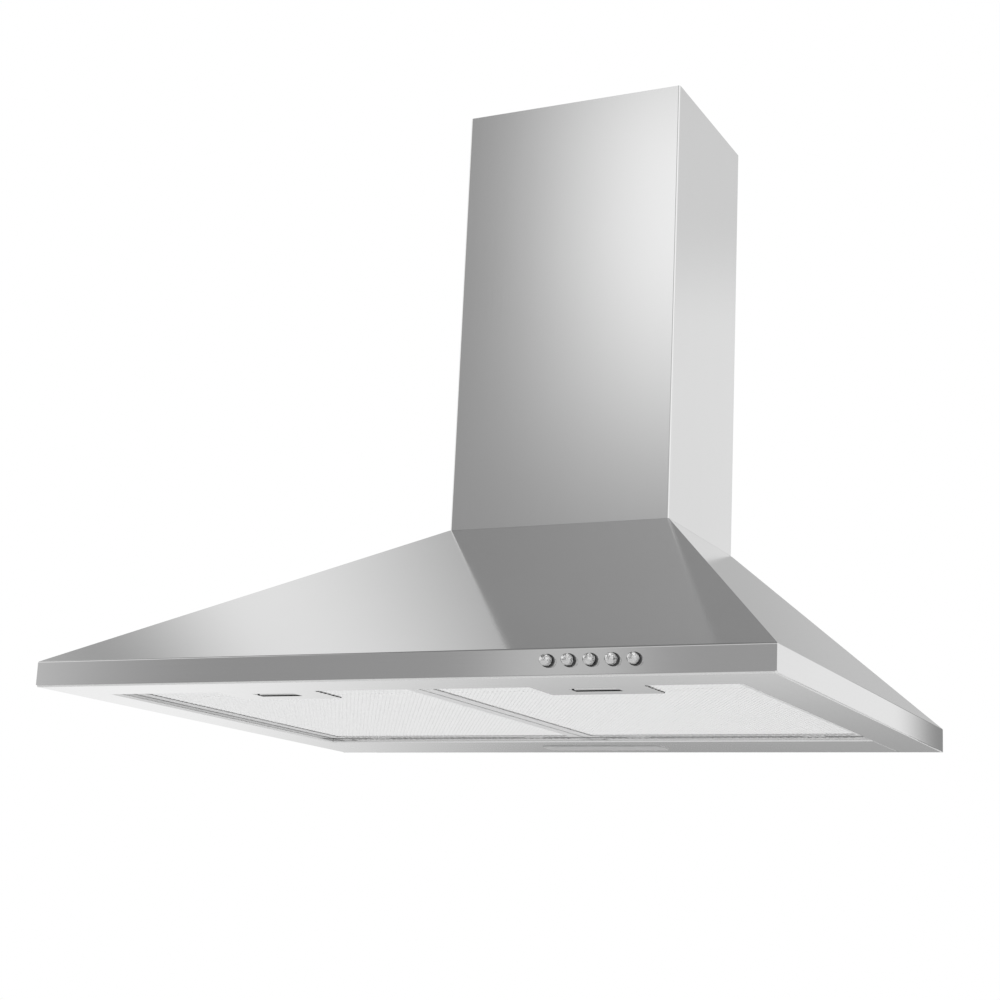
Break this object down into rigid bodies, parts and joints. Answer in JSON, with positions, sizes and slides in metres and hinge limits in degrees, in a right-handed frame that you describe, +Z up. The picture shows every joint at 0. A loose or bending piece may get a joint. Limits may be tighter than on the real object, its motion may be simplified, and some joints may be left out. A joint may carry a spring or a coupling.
{
  "type": "chimney range hood",
  "caption": "Wall-mounted pyramid range hood of brushed steel with a box chimney, swing-down grease filters, push buttons and a blower with a round top outlet.",
  "frame": {"origin": "on the wall plane, on the hood's centre line, level with the underside of the canopy", "axes": "+X to the right as the cook sees it, +Y into the wall, +Z up"},
  "size_m": [0.6, 0.489, 0.583],
  "materials": {
    "brushed_steel": "fine horizontal brushing, satin, bright",
    "galvanised_sheet": "zinc-coated, faint spangle",
    "zinc_screw": "bright zinc",
    "shaft_steel": "ground",
    "motor_paint": "satin black paint",
    "bush_rubber": "matt",
    "impeller_metal": "plain rolled",
    "black_plastic": "moulded, slight grain",
    "white_plastic": "moulded",
    "lens_plastic": "frosted",
    "board": "white solder mask",
    "led_phosphor": "cast resin",
    "filter_aluminium": "satin",
    "mesh_aluminium": "expanded mesh, bright",
    "button_chrome": "polished",
    "lead_jacket": "soft PVC"
  },
  "bodies": {
    "hood": {"canopy_front": "brushed_steel", "canopy_left": "brushed_steel", "canopy_right": "brushed_steel", "back_panel": "galvanised_sheet", "rear_panel": "brushed_steel", "top_plate": "galvanised_sheet", "rear_panel_screws": "zinc_screw", "top_plate_screws": "zinc_screw", "chimney_cover": "brushed_steel", "scroll_band": "galvanised_sheet", "scroll_front": "galvanised_sheet", "scroll_rear": "galvanised_sheet", "motor_arms": "motor_paint", "motor_bushes": "bush_rubber", "motor_screws": "zinc_screw", "motor_body": "motor_paint", "outlet_collar": "black_plastic", "collar_screws": "zinc_screw", "damper_seal": "bush_rubber", "damper_spindle": "shaft_steel", "junction_box": "white_plastic", "junction_lid": "white_plastic", "cable_gland": "black_plastic", "gland_nut": "black_plastic", "capacitor": "white_plastic", "capacitor_clip": "galvanised_sheet", "switch_bracket": "galvanised_sheet", "switch_bank": "black_plastic", "lamp_housing": "white_plastic", "led_board": "board", "led_chips": "led_phosphor", "lamp_cover": "lens_plastic", "switch_lead": "lead_jacket", "lamp_lead": "lead_jacket", "motor_lead": "lead_jacket"},
    "extension": {"chimney_extension": "brushed_steel", "extension_bracket": "galvanised_sheet", "bracket_screws": "zinc_screw"},
    "rotor": {"motor_shaft": "shaft_steel", "impeller_disc": "impeller_metal", "impeller_rings": "impeller_metal", "impeller_blades": "impeller_metal", "impeller_nut": "shaft_steel"},
    "flap_front": {"damper_flap_front": "black_plastic"},
    "flap_rear": {"damper_flap_rear": "black_plastic"},
    "filter_left": {"filter_frame_left": "filter_aluminium", "filter_mesh_left": "mesh_aluminium", "latch_plate_left": "brushed_steel"},
    "filter_right": {"filter_frame_right": "filter_aluminium", "filter_mesh_right": "mesh_aluminium", "latch_plate_right": "brushed_steel"},
    "latch_left": {"latch_slide_left": "brushed_steel"},
    "latch_right": {"latch_slide_right": "brushed_steel"},
    "button_1": {"button_1": "button_chrome"},
    "button_2": {"button_2": "button_chrome"},
    "button_3": {"button_3": "button_chrome"},
    "button_4": {"button_4": "button_chrome"},
    "button_5": {"button_5": "button_chrome"}
  },
  "joints": [
    {"name": "extension_lift", "type": "slide", "parent": "hood", "child": "extension", "axis": [0, 0, 1], "range_m": [0, 0.3]},
    {"name": "rotor_spin", "type": "hinge", "parent": "hood", "child": "rotor", "pos_m": [-0.041, -0.086, 0.092], "axis": [0, 1, 0], "continuous": true},
    {"name": "flap_front_hinge", "type": "hinge", "parent": "hood", "child": "flap_front", "pos_m": [0, -0.086, 0.1962], "axis": [-1, 0, 0], "range_deg": [0, 80]},
    {"name": "flap_rear_hinge", "type": "hinge", "parent": "hood", "child": "flap_rear", "pos_m": [0, -0.086, 0.1962], "axis": [1, 0, 0], "range_deg": [0, 80]},
    {"name": "filter_left_hinge", "type": "hinge", "parent": "hood", "child": "filter_left", "pos_m": [-0.13037, -0.089, 0.0049], "axis": [1, 0, 0], "range_deg": [0, 60]},
    {"name": "latch_left_slide", "type": "slide", "parent": "filter_left", "child": "latch_left", "axis": [0, 1, 0], "range_m": [0, 0.005], "stiffness_N_per_m": 300, "springref_m": -0.002},
    {"name": "filter_right_hinge", "type": "hinge", "parent": "hood", "child": "filter_right", "pos_m": [0.13037, -0.089, 0.0049], "axis": [1, 0, 0], "range_deg": [0, 60]},
    {"name": "latch_right_slide", "type": "slide", "parent": "filter_right", "child": "latch_right", "axis": [0, 1, 0], "range_m": [0, 0.005], "stiffness_N_per_m": 300, "springref_m": -0.002},
    {"name": "button_1_press", "type": "slide", "parent": "hood", "child": "button_1", "axis": [0, 1, 0], "range_m": [0, 0.003], "stiffness_N_per_m": 500, "springref_m": -0.001},
    {"name": "button_2_press", "type": "slide", "parent": "hood", "child": "button_2", "axis": [0, 1, 0], "range_m": [0, 0.003], "stiffness_N_per_m": 500, "springref_m": -0.001},
    {"name": "button_3_press", "type": "slide", "parent": "hood", "child": "button_3", "axis": [0, 1, 0], "range_m": [0, 0.003], "stiffness_N_per_m": 500, "springref_m": -0.001},
    {"name": "button_4_press", "type": "slide", "parent": "hood", "child": "button_4", "axis": [0, 1, 0], "range_m": [0, 0.003], "stiffness_N_per_m": 500, "springref_m": -0.001},
    {"name": "button_5_press", "type": "slide", "parent": "hood", "child": "button_5", "axis": [0, 1, 0], "range_m": [0, 0.003], "stiffness_N_per_m": 500, "springref_m": -0.001}
  ]
}
